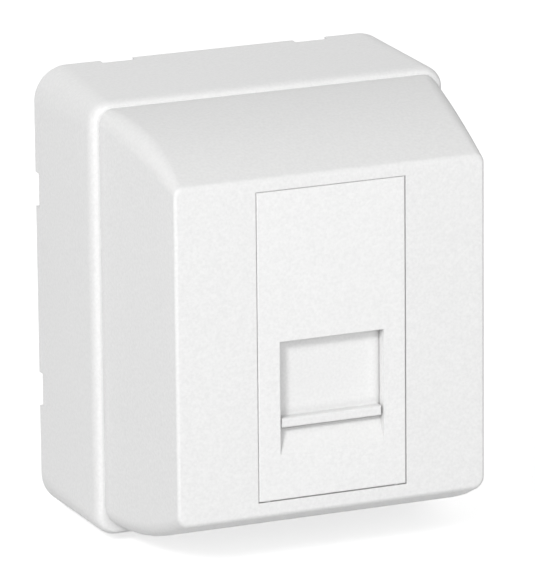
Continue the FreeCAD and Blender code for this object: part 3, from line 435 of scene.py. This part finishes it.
def windSpring(look, low, high):
    # the end turns lie closed against their neighbours
    axis = (low + high) / 2
    radius = (high.x - low.x) / 2 - look["wire"]
    foot, top = low.z + look["wire"], high.z - look["wire"]
    closedRise = 2 * look["closedTurns"] * look["closedPitch"]
    openPitch = (top - foot - closedRise) / (look["turns"] - 2 * look["closedTurns"])
    mesh = bmesh.new()
    rings = []
    for step in range(look["turns"] * look["stepsPerTurn"] + 1):
        turn = step / look["stepsPerTurn"]
        closed = min(turn, look["closedTurns"]) + max(0.0, turn - look["turns"] + look["closedTurns"])
        height = foot + closed * look["closedPitch"] + (turn - closed) * openPitch
        outward = Vector((math.cos(2 * math.pi * turn), math.sin(2 * math.pi * turn), 0.0))
        middle = Vector((axis.x, axis.y, height)) + outward * radius
        ring = []
        for side in range(look["wireSides"]):
            around = 2 * math.pi * side / look["wireSides"]
            offset = outward * math.cos(around) + Vector((0.0, 0.0, math.sin(around)))
            ring.append(mesh.verts.new(middle + offset * look["wire"]))
        rings.append(ring)
    for first, second in zip(rings, rings[1:]):
        for side in range(look["wireSides"]):
            after = (side + 1) % look["wireSides"]
            mesh.faces.new((first[side], second[side], second[after], first[after]))
    mesh.faces.new(rings[0])
    mesh.faces.new(reversed(rings[-1]))
    bmesh.ops.recalc_face_normals(mesh, faces=mesh.faces)
    data = bpy.data.meshes.new("shutterCoil")
    mesh.to_mesh(data)
    mesh.free()
    data.shade_smooth()
    data.materials.append(finishes["springSteel"])
    coil = bpy.data.objects.new("shutterCoil", data)
    bpy.context.collection.objects.link(coil)
    return coil


springLow, springHigh = (Vector(corner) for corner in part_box("shutter_spring"))
coil = windSpring(shutterSpring, springLow, springHigh)
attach(coil, "box")
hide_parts("shutter_spring")
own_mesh(coil)
print("spring wound:", shutterSpring["turns"], "turns")


# floor, light and camera

white = (1.0, 1.0, 1.0, 1.0)
floorLook = {"height": cadBox[0][2] - 0.1 * mm, "size": 6.0, "light": (0.62, 0.62, 0.62),
             "dark": (0.58, 0.58, 0.58), "fibrePerMetre": 900.0, "roughness": (0.8, 0.95),
             "whiteLift": 0.7}


def seenDirectly(tree):
    # 1 for the camera and for what shows in a shiny or clear surface
    path = addNode(tree, "ShaderNodeLightPath").outputs
    seen = addMath(tree, "MAXIMUM", path["Is Camera Ray"], path["Is Glossy Ray"])
    return addMath(tree, "MAXIMUM", seen, path["Is Transmission Ray"])


def makeFloor(look):
    half = look["size"] / 2
    data = bpy.data.meshes.new("studioFloor")
    data.from_pydata([(-half, -half, look["height"]), (half, -half, look["height"]),
                      (half, half, look["height"]), (-half, half, look["height"])], [], [(0, 1, 2, 3)])
    floor = bpy.data.objects.new("studioFloor", data)
    bpy.context.collection.objects.link(floor)
    paper, tree, shader = startFinish("paperWhite")
    place = addNode(tree, "ShaderNodeTexCoord").outputs["Object"]
    fibre = addNode(tree, "ShaderNodeTexNoise", {"Vector": place, "Scale": look["fibrePerMetre"]})
    fibre = fibre.outputs["Fac"]
    tree.links.new(mixColour(tree, fibre, look["dark"], look["light"]), shader.inputs["Base Color"])
    tree.links.new(spread(tree, fibre, *look["roughness"]), shader.inputs["Roughness"])
    lift = addMath(tree, "MULTIPLY", seenDirectly(tree), look["whiteLift"])
    tree.links.new(lift, shader.inputs["Emission Strength"])
    shader.inputs["Emission Color"].default_value = white
    data.materials.append(paper)


makeFloor(floorLook)

worldLook = {"light": 0.395, "seen": 1.0}
world = bpy.data.worlds.new("studioAir")
world.use_nodes = True
bpy.context.scene.world = world
air = world.node_tree
backdrop = air.nodes["Background"]
backdrop.inputs["Color"].default_value = white
strength = spread(air, seenDirectly(air), worldLook["light"], worldLook["seen"])
air.links.new(strength, backdrop.inputs["Strength"])

lamps = {
    "keyLamp": {"azimuth": -45.0, "elevation": 32.0, "distance": 1.1, "size": 0.24, "power": 7.05},
    "frontFill": {"azimuth": 0.0, "elevation": 10.0, "distance": 1.1, "size": 0.6, "power": 3.1},
    "backFill": {"azimuth": 170.0, "elevation": 18.0, "distance": 1.2, "size": 0.7, "power": 1.6},
}
lampAim = Vector((0.0, -0.02, 0.0))       # about the middle of the box


def towards(azimuth, elevation):
    # azimuth 0 is straight in front of the box, and 90 is to its right
    turn, rise = math.radians(azimuth), math.radians(elevation)
    return Vector((math.sin(turn) * math.cos(rise), -math.cos(turn) * math.cos(rise), math.sin(rise)))


for name, lamp in lamps.items():
    light = bpy.data.lights.new(name, "AREA")
    light.shape = "SQUARE"
    light.size = lamp["size"]
    light.energy = lamp["power"]
    holder = bpy.data.objects.new(name, light)
    way = towards(lamp["azimuth"], lamp["elevation"])
    turned = way.to_track_quat("Z", "Y").to_matrix().to_4x4()
    holder.matrix_world = Matrix.Translation(lampAim + way * lamp["distance"]) @ turned
    bpy.context.collection.objects.link(holder)

cameraLook = {"azimuth": -22.352, "elevation": 15.802, "roll": -0.551,
              "place": (-0.33916, -0.84472, 0.25382), "lens": 398.75, "nearest": 10 * mm}


def placeCamera(look):
    away = towards(look["azimuth"], look["elevation"])
    right = towards(look["azimuth"] + 90.0, 0.0)
    turned = Matrix((right, away.cross(right), away)).transposed().to_4x4()
    roll = Matrix.Rotation(math.radians(look["roll"]), 4, "Z")
    camera = bpy.data.objects.new("camera", bpy.data.cameras.new("camera"))
    camera.data.lens = look["lens"]
    camera.data.clip_start = look["nearest"]
    camera.matrix_world = Matrix.Translation(look["place"]) @ turned @ roll
    bpy.context.collection.objects.link(camera)
    bpy.context.scene.camera = camera


placeCamera(cameraLook)
bpy.context.scene.view_settings.view_transform = "Standard"
print("studio ready")
